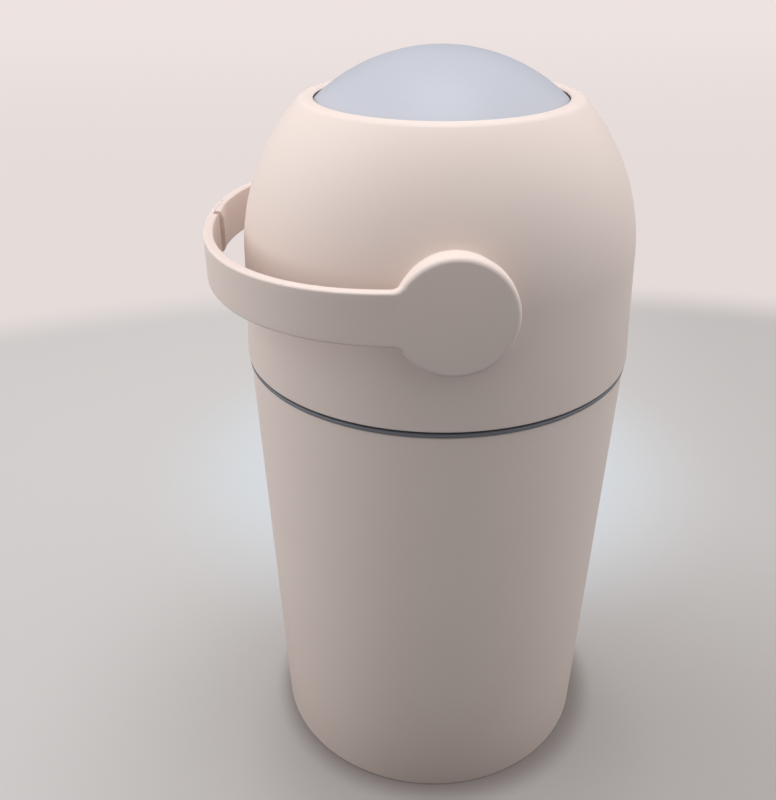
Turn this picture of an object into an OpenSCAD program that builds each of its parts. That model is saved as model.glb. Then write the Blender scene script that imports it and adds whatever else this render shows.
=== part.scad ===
// Nappy bin with a rotating ball closure, in millimetres.
// +Z is up, the floor is z = 0 and the bin's axis is the Z axis.
// The bail and the ball turn about an axis along Y; the bail lies towards -X at rest.

/* [Bin body] */
// Height of the body's rim above the floor
body_h = 302; // [240:0.5:360]
// Wall thickness of the body
body_wall = 2.5; // [1.8:0.1:3.5]
// How much smaller the radius is at the foot than at the rim
body_taper = 9.5; // [3:0.5:14]
// Rounding of the body's lower edge
foot_round = 2; // [0.8:0.1:2.4]
// Height of the floor's underside above the ground
floor_rise = 6; // [5:0.5:12]
// Thickness of the floor
floor_t = 3; // [2:0.5:5]
// Chamfer where the floor meets the wall inside
floor_chamfer = 5; // [1:0.5:10]
// Gap between the body's lower edge and the ground
skirt_gap = 0.8; // [0.4:0.1:2]
// Number of stiffening ribs under the floor
rib_count = 12; // [6:6:24]
// Thickness of each rib
rib_t = 2; // [1.2:0.2:3]
// Height of each rib
rib_h = 3; // [2:0.5:4]
// Width of the rubber ring that the bin stands on
foot_ring_w = 10; // [6:0.5:14]
// Room between the rubber ring and the body's wall
foot_ring_room = 6; // [4:0.5:20]
// Depth of the groove that holds the rubber ring
foot_groove = 2; // [1:0.5:2.5]

/* [Bag ring] */
// Thickness of the ring's flange, which shows as the dark line under the lid
ring_flange_t = 2.6; // [2:0.1:5]
// How far the flange stands out past the body's rim
ring_proud = 0.2; // [0:0.1:0.6]
// Depth of the ring's skirt below its flange
ring_depth = 45; // [30:1:70]
// Wall thickness of the skirt
ring_wall = 2.5; // [1.8:0.1:3.5]
// Room for the bag between the skirt's lower edge and the body
ring_clear = 1; // [0.6:0.1:2]
// Width of the flange's inner lip
ring_lip = 4.7; // [2:0.1:6]

/* [Lid] */
// Outer radius of the lid at its lower edge
lid_r = 126; // [122:0.5:140]
// How far the lid stands out past the body's rim
lid_overhang = 1.4; // [0.3:0.1:2]
// Wall thickness of the lid
lid_wall = 3; // [2.4:0.1:4]
// Gap between the bag ring and the lid's lower edge
lid_seat_gap = 0.6; // [0.4:0.1:1.5]
// Height of the turning axis above the lid's lower edge
axis_rise = 74; // [70:0.5:90]
// How much the lid draws in from its lower edge to its waist
waist_in = 2.7; // [0.5:0.1:3]
// How far the waist lies below the turning axis
waist_drop = 8; // [5:0.5:16]
// How far the centre of the dome's side arc lies past the bin's axis
dome_offset = 10.2; // [4:0.1:14]
// Height of the lip's top above the turning axis
lip_rise = 86.5; // [80:0.5:90]
// Rounding of the lip's outer edge
lip_round = 6; // [3:0.5:9]
// Chamfer of the lip's inner edge
lip_edge = 1; // [0.5:0.1:2]
// Height of the solid land behind the lip
land_h = 17; // [13:0.5:24]
// Gap between the lip and the ball
lip_gap = 1; // [0.6:0.1:1.5]

/* [Lid bearings] */
// Radius of the round boss that carries each bearing
boss_r = 30.5; // [28.5:0.5:31]
// Thickness of the boss
boss_t = 10; // [9:0.5:10.5]
// Wall of the bearing tube
tube_wall = 3; // [2:0.5:4]
// Length of the bearing tube inside the boss
tube_len = 2; // [1:0.25:2.25]

/* [Liner] */
// Wall thickness of the liner's skirts
liner_wall = 2.4; // [1.8:0.1:3]
// Thickness of the liner's web
web_t = 3; // [2:0.5:5]
// Height of the web's top above the lid's lower edge
web_rise = 14; // [12:0.5:17]
// How far the plug skirt reaches below the lid's lower edge
plug_depth = 12; // [6:1:20]
// Side gap between the plug skirt and the bag ring
plug_gap = 0.6; // [0.4:0.1:1.5]
// Side gap between the liner and the lid's wall
liner_gap = 0.5; // [0.3:0.1:1]

/* [Seals] */
// Gap between a seal's lip and the ball
seal_gap = 0.35; // [0.3:0.05:0.6]
// Height of the upper seal
upper_seal_h = 6; // [4:0.5:8]
// Depth of the upper seal's groove behind the lip
upper_seal_depth = 3; // [2:0.5:3.5]
// Thickness of the lower seal
lower_seal_t = 2.5; // [2:0.5:4]
// Floor thickness of the ring that clamps the lower seal
retainer_t = 2.5; // [2:0.5:4]
// Width of the clamping ring's screw rim
retainer_rim = 6; // [5.8:0.1:7]
// Height of the gasket under the lid
lid_gasket_h = 4.3; // [3:0.1:8]
// Height of the gasket round the bag ring
ring_gasket_h = 4; // [2:0.5:8]

/* [Ball] */
// Room between the ball and the lid's wall at its waist
ball_room = 6.8; // [6:0.1:9]
// Wall thickness of the ball
ball_wall = 2.5; // [2:0.1:4]
// Depth of the flat at each pole
pole_flat = 1.4; // [1.2:0.1:1.6]
// Radius of the pocket's mouth
mouth_r = 70; // [60:0.5:72]
// Height of the joining lip inside the ball, above and below its seam
seam_lip_h = 4; // [2:0.5:8]
// Thickness of the joining lip
seam_lip_t = 2; // [1.2:0.1:3]
// How far the pocket's rim stands back inside the mouth
cup_inset = 1; // [0.5:0.1:2]
// Depth of the pocket
cup_depth = 118; // [80:1:124]
// Wall thickness of the pocket
cup_wall = 2; // [1.5:0.1:3]
// How much the pocket's radius shrinks towards its bottom
cup_taper = 7; // [2:0.5:14]
// Rounding at the bottom of the pocket
cup_round = 20; // [8:1:30]
// How far the pocket's snap bead stands out
cup_snap = 1.6; // [0.8:0.1:1.8]

/* [Bail] */
// Room for the fingers between the bail's far end and the lid
hand_gap = 16.8; // [14:0.1:40]
// Length of the bail's straight run from the axis
bail_straight = 24; // [20:1:60]
// How square the bail's curve is; 2 makes it an ellipse
bail_square = 2.2; // [2:0.05:2.6]
// Thickness of the bail
bail_t = 6; // [5:0.5:8.5]
// Width of the bail at its hubs
bail_w_hub = 30.3; // [26:0.1:38]
// Width of the bail at its far end
bail_w_end = 27.2; // [20:0.1:34]
// How far a hub's outer face stands out past the lid's waist
hub_stand = 13.7; // [13.2:0.1:16]
// Radius of a hub
hub_r = 33.4; // [32:0.1:36]
// Rounding of a hub's outer edge
hub_round = 2.8; // [0.8:0.1:2.9]
// Thickness of a hub
hub_t = 10.5; // [10:0.5:11]
// Wall of a hub's face and rim
hub_wall = 3; // [2:0.5:4]
// Radius of the fillet between hub and arm
bail_fillet = 7.5; // [4:0.5:12]
// Where the two halves of the bail start to overlap, past the bin's middle
lap_start = 10; // [0:1:20]
// Length of the overlap
lap_len = 24; // [12:1:40]
// How far the back half's tongue stands proud at its end
lap_proud = 2.4; // [0.5:0.1:2.8]

/* [Axle] */
// Radius of the journal on each hub
journal_r = 9.95; // [8.5:0.05:11]
// Wall of the bearing bush
bush_wall = 3; // [2:0.5:4]
// Radius of the bush's flange
bush_flange_r = 17; // [16.5:0.5:20]
// Thickness of the bush's flange
bush_flange_t = 1.5; // [1:0.1:2]
// Radius of the hexagonal drive end, across its corners
hex_r = 9; // [7:0.1:9.4]
// Width of the square drive socket
socket_w = 28; // [24:0.5:32]
// Thickness of the drive socket
socket_t = 10; // [6:0.5:14]
// Wall of the box that holds the drive socket
socket_wall = 3; // [2:0.5:4]
// Outer radius of the thrust washer
thrust_r = 20.5; // [18:0.5:21]
// Thickness of the thrust washer
thrust_t = 1.2; // [0.8:0.1:2]

/* [Turn stop] */
// How far the ball and bail turn, in degrees
turn_range = 180; // [150:1:180]
// Radius on which the stop peg travels
stop_r = 25.5; // [25:0.1:26]
// Radius of the stop peg
stop_peg_r = 2; // [1.5:0.1:2.2]
// Length of the stop peg
stop_peg_len = 2.6; // [1.5:0.1:4]

/* [Fasteners] */
// Shank radius of the two axle screws
axle_screw_r = 3; // [2:0.5:4]
// Length of the axle screws under the head
axle_screw_len = 20; // [18:1:22]
// Head radius of the axle screws
axle_head_r = 5; // [4.5:0.5:6]
// Head height of the axle screws
axle_head_h = 3.6; // [2:0.1:5]
// Radius of the axle screws' washers
axle_washer_r = 11; // [10.5:0.5:12]
// Thickness of those washers
axle_washer_t = 1.5; // [1:0.1:3]
// Number of screws in each ring
ring_screws = 6; // [4:1:8]
// Shank radius of the liner's screws
liner_screw_r = 1.75; // [1.25:0.25:2]
// Length of the liner's screws under the head
liner_screw_len = 14; // [10:1:15]
// Head radius of the liner's screws
liner_head_r = 3; // [2.5:0.1:3.2]
// Height of a small screw's head
small_head_h = 2; // [1.5:0.1:3]
// Shank radius of the clamping ring's screws
clamp_screw_r = 1.5; // [1:0.25:1.75]
// Length of the clamping ring's screws under the head
clamp_screw_len = 10; // [9:1:12]
// Head radius of the clamping ring's screws
clamp_head_r = 2.7; // [2.2:0.1:3]

/* [Fits] */
// Running clearance of the journals, on radius
run_gap = 0.05; // [0.02:0.01:0.1]
// Gap between pieces that move past each other
slide_gap = 0.3; // [0.2:0.05:0.6]
// Assembly gap between pieces of one unit
fit_gap = 0.1; // [0.05:0.05:0.2]

/* [Hidden] */
$fn = 96;
eps = 0.01;
far = 400;

body_rim_r = lid_r - lid_overhang;
floor_top = floor_rise + floor_t;
foot_ring_out = body_in(floor_rise) - foot_ring_room;
foot_ring_in = foot_ring_out - foot_ring_w;

ring_z = body_h + slide_gap;
ring_top = ring_z + ring_flange_t;
ring_skirt_out = body_in(ring_z - ring_depth) - ring_clear;
ring_skirt_in = ring_skirt_out - ring_wall;
ring_in_r = ring_skirt_in - ring_lip;
ring_edge_r = body_rim_r + ring_proud;

lid_z = ring_top + lid_seat_gap;
axis_z = lid_z + axis_rise;
waist_r = lid_r - waist_in;
ball_r = waist_r - lid_wall - ball_room;
dome_x = -dome_offset;
dome_arc_r = waist_r + dome_offset;
dome_z = -waist_drop;
lip_x = dome_x + sqrt(pow(dome_arc_r - lip_round, 2) - pow(lip_rise - lip_round - dome_z, 2));
lip_angle = atan2(lip_rise - lip_round - dome_z, lip_x - dome_x);
land_low = lip_rise - land_h;
seal_low = land_low + (land_h - upper_seal_h) / 2;

hub_face = waist_r + hub_stand;
hub_back = hub_face - hub_t;
boss_face = hub_back - slide_gap - fit_gap;
boss_back = boss_face - boss_t;
tube_end = boss_back - tube_len;
bush_out_r = journal_r + run_gap + bush_wall;
thrust_seat = hub_back - slide_gap / 2 - thrust_t;
pole_y = ball_r - pole_flat;
socket_y = pole_y - ball_wall;
socket_end = socket_y - socket_t;
hex_end = socket_end + 2 * fit_gap;

bail_reach = waist_r + hand_gap + bail_t;

stop_slot_r = stop_peg_r + slide_gap;
stop_slot_depth = stop_peg_len + slide_gap;

web_top = lid_z + web_rise;
web_low = web_top - web_t;
liner_out_r = lid_in(web_top) - liner_gap;
plug_out_r = ring_in_r - plug_gap;
plug_in_r = plug_out_r - liner_wall;
liner_screw_circle = (plug_out_r + liner_out_r - liner_wall) / 2;
lower_seal_low = web_low - lower_seal_t;
clamp_out_r = plug_in_r - slide_gap;
lower_seal_in = ball_at(lower_seal_low - axis_z, seal_gap);
lower_seal_out = clamp_out_r - retainer_rim - fit_gap;
lower_seal_mid = (lower_seal_in + lower_seal_out) / 2;
clamp_low = lower_seal_low - retainer_t;
clamp_screw_circle = lower_seal_out + fit_gap + retainer_rim / 2;
screw_boss_wall = 2;

mouth_low = sqrt(pow(ball_r, 2) - pow(mouth_r, 2));
cup_out_r = mouth_r - slide_gap;
cup_rim = cup_inset - mouth_low;
cup_end = cup_rim + cup_depth;

// Outer and inner radius of the body at a height
function body_out(z) = body_rim_r - body_taper * (1 - z / body_h);
function body_in(z) = body_out(z) - body_wall;

// Inner radius of the lid below its waist
function lid_in(z) = lid_r - lid_wall - waist_in * (z - lid_z) / (axis_rise - waist_drop);

// Radius of a sphere round the ball, a gap outside it, at a height over the axis
function ball_at(h, gap = 0) = sqrt(pow(ball_r + gap, 2) - pow(h, 2));

// Points along an arc
function arc(c, r, from, to, n) =
    [for (i = [0:n]) let (a = from + (to - from) * i / n) c + r * [cos(a), sin(a)]];

// Points down the inside of a sphere round the ball
function ball_arc(gap, high, low, n) =
    [for (i = [0:n]) let (h = high + (low - high) * i / n) [ball_at(h, gap), h]];

// Spins an outline of radius and height about the bin's axis
module spin(z = 0) translate([0, 0, z]) rotate_extrude() children();

// Puts children that stand along +Z on the axle, pointing out of the front or back
module on_axle(side) translate([0, 0, axis_z]) rotate([side < 0 ? 90 : -90, 0, 0]) children();

// Repeats children round the bin's axis
module around(count, r, turn = 0)
    for (i = [0:count - 1]) rotate([0, 0, turn + 360 * i / count]) translate([r, 0, 0]) children();

module tube(r_out, r_in, z, h)
    translate([0, 0, z]) difference() {
        cylinder(r = r_out, h = h);
        translate([0, 0, -1]) cylinder(r = r_in, h = h + 2);
    }

// A screw along +Z with its head below z = 0
module screw(shank_r, len, head_r, head_h) {
    translate([0, 0, -eps]) cylinder(r = shank_r, h = len + eps);
    translate([0, 0, -head_h]) difference() {
        cylinder(r = head_r, h = head_h);
        translate([0, 0, -eps]) cylinder(r = head_r / 2, h = head_h / 2, $fn = 6);
    }
}

module bin_body() color("#cfc8c0") {
    foot_x = body_out(skirt_gap) - foot_round;
    groove_out = foot_ring_out + fit_gap;
    groove_in = foot_ring_in - fit_gap;
    groove_low = floor_rise - foot_groove;
    union() {
        spin() polygon(concat(
            arc([foot_x, skirt_gap + foot_round], foot_round, -90, 0, 6),
            [[body_rim_r, body_h], [body_in(body_h), body_h],
             [body_in(floor_top + floor_chamfer), floor_top + floor_chamfer],
             [body_in(floor_top) - floor_chamfer, floor_top], [0, floor_top], [0, floor_rise],
             [groove_in - rib_t, floor_rise], [groove_in - rib_t, groove_low],
             [groove_in, groove_low], [groove_in, floor_rise],
             [groove_out, floor_rise], [groove_out, groove_low],
             [groove_out + rib_t, groove_low], [groove_out + rib_t, floor_rise],
             [body_in(floor_rise), floor_rise], [body_in(skirt_gap), skirt_gap]]));
        around(rib_count, 0)
            for (run = [[0, groove_in - rib_t / 2], [groove_out + rib_t / 2, body_in(floor_rise) + body_wall / 2]])
                translate([run[0], -rib_t / 2, floor_rise - rib_h])
                    cube([run[1] - run[0], rib_t, rib_h + eps]);
    }
}

module foot_ring() color("#4a4d52") tube(foot_ring_out, foot_ring_in, 0, floor_rise);

module bag_ring() color("#5f6672")
    spin() polygon([
        [ring_in_r, ring_z], [ring_skirt_in, ring_z], [ring_skirt_in, ring_z - ring_depth],
        [ring_skirt_out, ring_z - ring_depth], [ring_skirt_out, ring_z], [ring_edge_r, ring_z],
        [ring_edge_r, ring_top], [ring_in_r, ring_top]]);

module ring_gasket() color("#33363b")
    tube(body_in(ring_z - ring_gasket_h) - slide_gap, ring_skirt_out, ring_z - ring_gasket_h, ring_gasket_h);

// Outline of the lid's wall, with heights over the turning axis
module lid_outline() polygon(concat(
    [[lid_r, -axis_rise]],
    arc([dome_x, dome_z], dome_arc_r, 0, lip_angle, 18),
    arc([lip_x, lip_rise - lip_round], lip_round, lip_angle + 5, 90, 6),
    [[ball_at(lip_rise - lip_edge, lip_gap) + lip_edge, lip_rise]],
    ball_arc(lip_gap, lip_rise - lip_edge, land_low, 6),
    [for (p = arc([dome_x, dome_z], dome_arc_r - lid_wall, lip_angle, 0, 18)) if (p[1] < land_low - lip_edge) p],
    [[lid_r - lid_wall, -axis_rise]]));

// One bearing boss on the lid, standing out along +Z from the bin's middle
module bearing_boss() {
    translate([0, 0, boss_back]) cylinder(r = boss_r, h = boss_t);
    translate([0, 0, tube_end]) cylinder(r = bush_out_r + tube_wall, h = tube_len + eps);
}

// The room that the bush, the thrust washer and the stop peg need in a boss
module bearing_cuts(side) {
    translate([0, 0, tube_end - 1]) cylinder(r = bush_out_r + fit_gap / 2, h = far);
    translate([0, 0, thrust_seat]) cylinder(r = thrust_r + fit_gap, h = far);
    spare = asin(slide_gap / stop_r) * 2;
    translate([0, 0, boss_face - stop_slot_depth]) {
        rotate([0, 0, side < 0 ? -90 - turn_range - spare : 90 - spare])
            rotate_extrude(angle = turn_range + 2 * spare)
                translate([stop_r - stop_slot_r, 0]) square([2 * stop_slot_r, far]);
        for (a = [0, turn_range])
            rotate([0, 0, side < 0 ? -90 - a : 90 + a])
                translate([stop_r, 0, 0]) cylinder(r = stop_slot_r, h = far);
    }
}

module lid_shell() color("#d8d0c8") {
    boss_h = liner_screw_len - web_t + screw_boss_wall;
    boss_w = liner_screw_r + screw_boss_wall;
    difference() {
        union() {
            spin(axis_z) lid_outline();
            for (side = [-1, 1]) on_axle(side) bearing_boss();
            around(ring_screws, 0) {
                translate([liner_screw_circle, 0, web_top]) cylinder(r = boss_w, h = boss_h);
                translate([liner_screw_circle, -rib_t / 2, web_top])
                    cube([lid_in(web_top + boss_h) + lid_wall / 2 - liner_screw_circle, rib_t, boss_h]);
            }
        }
        for (side = [-1, 1]) on_axle(side) bearing_cuts(side);
        around(ring_screws, liner_screw_circle)
            translate([0, 0, web_top - 1]) cylinder(r = liner_screw_r, h = liner_screw_len - web_t + 1);
        spin(axis_z) polygon([
            [ball_at(seal_low, lip_gap) - 1, seal_low],
            [ball_at(seal_low, lip_gap + upper_seal_depth), seal_low],
            [ball_at(seal_low + upper_seal_h, lip_gap + upper_seal_depth), seal_low + upper_seal_h],
            [ball_at(seal_low + upper_seal_h, lip_gap) - 1, seal_low + upper_seal_h]]);
    }
}

module lid_liner() color("#b9bcc2")
    difference() {
        union() {
            spin() {
                translate([lower_seal_mid, web_low]) square([liner_out_r - lower_seal_mid, web_t]);
                translate([plug_in_r, lid_z - plug_depth])
                    square([liner_wall, web_low - lid_z + plug_depth + eps]);
                translate([liner_out_r - liner_wall, lid_z + slide_gap])
                    square([liner_wall, web_low - lid_z - slide_gap + eps]);
            }
            around(ring_screws, clamp_screw_circle, 180 / ring_screws)
                translate([0, 0, web_top - eps])
                    cylinder(r = clamp_screw_r + screw_boss_wall, h = clamp_screw_len - web_t - retainer_t);
        }
        around(ring_screws, liner_screw_circle)
            translate([0, 0, web_low - 1]) cylinder(r = liner_screw_r + fit_gap, h = web_t + 2);
        around(ring_screws, clamp_screw_circle, 180 / ring_screws)
            translate([0, 0, web_low - 1]) cylinder(r = clamp_screw_r, h = far);
    }

module liner_screws() color("#9a9da1")
    around(ring_screws, liner_screw_circle)
        translate([0, 0, web_low]) screw(liner_screw_r, liner_screw_len - fit_gap, liner_head_r, small_head_h);

module upper_seal() color("#33363b")
    spin(axis_z) polygon([
        [ball_at(seal_low + fit_gap, seal_gap), seal_low + fit_gap],
        [ball_at(seal_low + fit_gap, lip_gap + upper_seal_depth - fit_gap), seal_low + fit_gap],
        [ball_at(seal_low + upper_seal_h - fit_gap, lip_gap + upper_seal_depth - fit_gap),
         seal_low + upper_seal_h - fit_gap],
        [ball_at(seal_low + upper_seal_h - fit_gap, seal_gap), seal_low + upper_seal_h - fit_gap]]);

module lower_seal() color("#33363b")
    spin() polygon([
        [lower_seal_in, lower_seal_low], [lower_seal_out, lower_seal_low],
        [lower_seal_out, web_low], [ball_at(web_low - axis_z, seal_gap), web_low]]);

module seal_clamp_ring() color("#b9bcc2")
    difference() {
        spin() polygon([
            [lower_seal_mid, clamp_low], [clamp_out_r, clamp_low],
            [clamp_out_r, web_low], [lower_seal_out + fit_gap, web_low],
            [lower_seal_out + fit_gap, lower_seal_low], [lower_seal_mid, lower_seal_low]]);
        around(ring_screws, clamp_screw_circle, 180 / ring_screws)
            translate([0, 0, clamp_low - 1]) cylinder(r = clamp_screw_r + fit_gap, h = far);
    }

module clamp_screws() color("#9a9da1")
    around(ring_screws, clamp_screw_circle, 180 / ring_screws)
        translate([0, 0, clamp_low]) screw(clamp_screw_r, clamp_screw_len, clamp_head_r, small_head_h);

module lid_gasket() color("#33363b")
    tube(liner_out_r - liner_wall - fit_gap, plug_out_r + fit_gap, ring_top + slide_gap, lid_gasket_h);

module axle_bush(side) color("#eceae4")
    on_axle(side) difference() {
        union() {
            translate([0, 0, tube_end - bush_flange_t]) cylinder(r = bush_flange_r, h = bush_flange_t);
            translate([0, 0, tube_end - eps])
                cylinder(r = bush_out_r, h = thrust_seat - tube_end - fit_gap);
        }
        translate([0, 0, tube_end - bush_flange_t - 1]) cylinder(r = journal_r + run_gap, h = far);
    }

module thrust_washer(side) color("#eceae4")
    on_axle(side) tube(thrust_r, journal_r + slide_gap, thrust_seat, thrust_t);

// The ball's shell with the boxes for the drive sockets, before it is cut in two
module whole_ball() {
    box_w = socket_w + 2 * (fit_gap + socket_wall);
    translate([0, 0, axis_z]) difference() {
        union() {
            difference() {
                sphere(r = ball_r);
                sphere(r = ball_r - ball_wall);
            }
            intersection() {
                sphere(r = ball_r - ball_wall / 2);
                for (side = [-1, 1]) rotate([side < 0 ? 90 : -90, 0, 0])
                    translate([-box_w / 2, -box_w / 2, socket_end]) cube([box_w, box_w, far]);
            }
        }
        for (side = [-1, 1]) rotate([side < 0 ? 90 : -90, 0, 0]) {
            translate([-far / 2, -far / 2, pole_y]) cube([far, far, far]);
            translate([-socket_w / 2 - fit_gap, -socket_w / 2 - fit_gap, socket_end - 1])
                cube([socket_w + 2 * fit_gap, socket_w + 2 * fit_gap, socket_t + 1]);
            cylinder(r = journal_r + slide_gap, h = far);
        }
    }
}

module ball_dome() color("#c9cfdb")
    union() {
        difference() {
            whole_ball();
            translate([-far / 2, -far / 2, axis_z - far]) cube([far, far, far]);
        }
        difference() {
            tube(ball_r - ball_wall - fit_gap, ball_r - ball_wall - fit_gap - seam_lip_t,
                 axis_z - seam_lip_h, seam_lip_h);
            socket_gap();
        }
        difference() {
            tube(ball_r - ball_wall / 2, ball_r - ball_wall - fit_gap - seam_lip_t, axis_z, seam_lip_h);
            socket_gap();
        }
    }

// Keeps the joining lip clear of the drive socket boxes
module socket_gap() {
    gap_w = socket_w + 4 * (fit_gap + socket_wall);
    translate([-gap_w / 2, -far / 2, axis_z - far / 2]) cube([gap_w, far, far]);
}

module ball_mouth() color("#c9cfdb")
    difference() {
        whole_ball();
        translate([-far / 2, -far / 2, axis_z]) cube([far, far, far]);
        translate([0, 0, axis_z - far]) cylinder(r = mouth_r, h = far);
    }

module pocket_cup() color("#dfe3ea") {
    bottom_r = cup_out_r - cup_taper;
    bead_z = -sqrt(pow(ball_r - ball_wall, 2) - pow(mouth_r, 2)) + cup_snap;
    spin(axis_z) polygon(concat(
        [[cup_out_r - cup_wall, cup_rim], [cup_out_r, cup_rim],
         [cup_out_r, bead_z], [cup_out_r + cup_snap, bead_z + cup_snap / 2],
         [cup_out_r, bead_z + 2 * cup_snap]],
        arc([bottom_r - cup_round, cup_end - cup_round], cup_round, 0, 90, 10),
        [[0, cup_end], [0, cup_end - cup_wall]],
        arc([bottom_r - cup_round, cup_end - cup_round], cup_round - cup_wall, 90, 0, 10)));
}

module drive_socket(side) color("#8f949b")
    on_axle(side) difference() {
        translate([-socket_w / 2, -socket_w / 2, socket_end]) cube([socket_w, socket_w, socket_t]);
        translate([0, 0, socket_end - 1]) cylinder(r = hex_r + fit_gap, h = socket_t + 2, $fn = 6);
    }

module axle_washers() color("#9a9da1")
    for (side = [-1, 1])
        on_axle(side) tube(axle_washer_r, axle_screw_r + fit_gap, socket_end - axle_washer_t, axle_washer_t);

module axle_screws() color("#9a9da1")
    for (side = [-1, 1])
        on_axle(side) translate([0, 0, socket_end - axle_washer_t])
            screw(axle_screw_r, axle_screw_len, axle_head_r, axle_head_h);

// A point on the bail's plan, an inward distance from its outer face
function bail_point(a, inward) =
    let (rx = bail_reach - bail_straight,
         u = pow(abs(cos(a)), 2 / bail_square),
         v = sign(a) * pow(abs(sin(a)), 2 / bail_square),
         n = [pow(u, bail_square - 1) / rx, sign(a) * pow(abs(v), bail_square - 1) / hub_face])
    [bail_straight + rx * u, hub_face * v] - inward * n / norm(n);

// Angle of that curve at a distance from the bin's middle
function bail_angle(y) = asin(pow(y / hub_face, bail_square / 2));

// Plan of the bail's strap between two inward distances, with x as the reach
module bail_plan(outer, inner) {
    steps = [for (a = [-90:3:90]) a];
    polygon(concat(
        [[0, outer - hub_face]], [for (a = steps) bail_point(a, outer)], [[0, hub_face - outer]],
        [[0, hub_face - inner]], [for (a = steps) bail_point(-a, inner)], [[0, inner - hub_face]]));
}

// Side view of the bail: the tapering strap and its fillets to the hub
module bail_side() {
    fillet_h = bail_w_hub / 2 + bail_fillet;
    fillet_x = sqrt(pow(hub_r + bail_fillet, 2) - pow(fillet_h, 2));
    turn = atan2(fillet_h, fillet_x);
    polygon([[0, -bail_w_hub / 2], [fillet_x, -bail_w_hub / 2], [bail_reach + 1, -bail_w_end / 2],
             [bail_reach + 1, bail_w_end / 2], [fillet_x, bail_w_hub / 2], [0, bail_w_hub / 2]]);
    for (side = [-1, 1]) scale([1, side])
        polygon(concat([[fillet_x, 0]], arc([fillet_x, fillet_h], bail_fillet, -90, turn - 180, 8), [[0, 0]]));
}

// The whole strap, lying towards -X, cut by a plan
module strap() translate([0, 0, axis_z]) mirror([1, 0, 0]) intersection() {
    translate([0, 0, -hub_r]) linear_extrude(height = 2 * hub_r) children();
    rotate([90, 0, 0]) translate([0, 0, -far / 2]) linear_extrude(height = far) bail_side();
}

// Plan of the wedge by which the back half's tongue stands proud inside, fading out along the overlap
module proud_plan() {
    steps = 8;
    first = bail_angle(lap_start + 2 * slide_gap);
    turn = (bail_angle(lap_start + lap_len) - first) / steps;
    fade = 1.2 / steps;
    polygon(concat(
        [for (i = [0:steps]) bail_point(first + turn * i, bail_t - lap_proud)],
        [for (i = [steps:-1:0]) bail_point(first + turn * i, bail_t + lap_proud * (1 - fade * i))]));
}

// Plan of one half of the bail: its full thickness, then one layer of the overlap
module half_plan(side) {
    mid = bail_t / 2;
    reach = bail_reach + 1;
    if (side < 0) {
        intersection() {
            bail_plan(0, bail_t);
            translate([0, -far]) square([reach, far + lap_start]);
        }
        intersection() {
            bail_plan(0, mid - fit_gap);
            translate([0, -far]) square([reach, far + lap_start + lap_len]);
        }
    } else {
        intersection() {
            bail_plan(0, bail_t);
            translate([0, lap_start + lap_len + slide_gap]) square([reach, far]);
        }
        intersection() {
            union() {
                bail_plan(mid + fit_gap, bail_t);
                proud_plan();
            }
            translate([0, lap_start + 2 * slide_gap]) square([reach, far]);
        }
    }
}

// A hub with its journal and drive end, standing out along +Z from the bin's middle
module hub(side) {
    cavity = hub_r - hub_wall;
    difference() {
        rotate_extrude() polygon(concat(
            [[0, hub_back], [hub_r, hub_back]],
            arc([hub_r - hub_round, hub_face - hub_round], hub_round, 0, 90, 5), [[0, hub_face]]));
        tube(cavity, thrust_r + 1, hub_back - 1, hub_t - hub_wall + 1);
    }
    rotate([0, 0, side < 0 ? -90 : 90]) {
        translate([stop_r, 0, hub_back - stop_peg_len])
            cylinder(r = stop_peg_r, h = stop_peg_len + hub_t - hub_wall + eps);
        for (i = [0:7]) rotate([0, 0, 45 * i])
            translate([thrust_r + 1 - eps, -rib_t / 4, hub_back])
                cube([cavity - thrust_r - 1 + 2 * eps, rib_t / 2, hub_t - hub_wall + eps]);
    }
    difference() {
        union() {
            translate([0, 0, pole_y]) cylinder(r = journal_r, h = hub_back - pole_y + eps);
            translate([0, 0, hex_end]) cylinder(r = hex_r, h = pole_y - hex_end + eps, $fn = 6);
        }
        translate([0, 0, hex_end - 1]) cylinder(r = axle_screw_r, h = axle_screw_len);
    }
}

module bail_half(side) color("#d8d0c8")
    union() {
        strap() half_plan(side);
        on_axle(side) hub(side);
    }

bin_body();
foot_ring();
bag_ring();
ring_gasket();
lid_shell();
lid_liner();
liner_screws();
upper_seal();
lower_seal();
seal_clamp_ring();
clamp_screws();
lid_gasket();
axle_bush(-1);  // axle_bush_front
axle_bush(1);  // axle_bush_back
thrust_washer(-1);  // thrust_washer_front
thrust_washer(1);  // thrust_washer_back
ball_dome();
ball_mouth();
pocket_cup();
drive_socket(-1);  // drive_socket_front
drive_socket(1);  // drive_socket_back
axle_washers();
axle_screws();
bail_half(-1);  // bail_front
bail_half(1);  // bail_back
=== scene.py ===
# Nappy bin: a tapering body, a bag ring, a domed lid, and a bail that turns a ball with a pocket in it.
# Shapes are worked out in millimetres, heights from the floor, and turned to metres when a mesh is made.
import math

import bmesh
import bpy
from mathutils import Matrix, Quaternion, Vector


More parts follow.
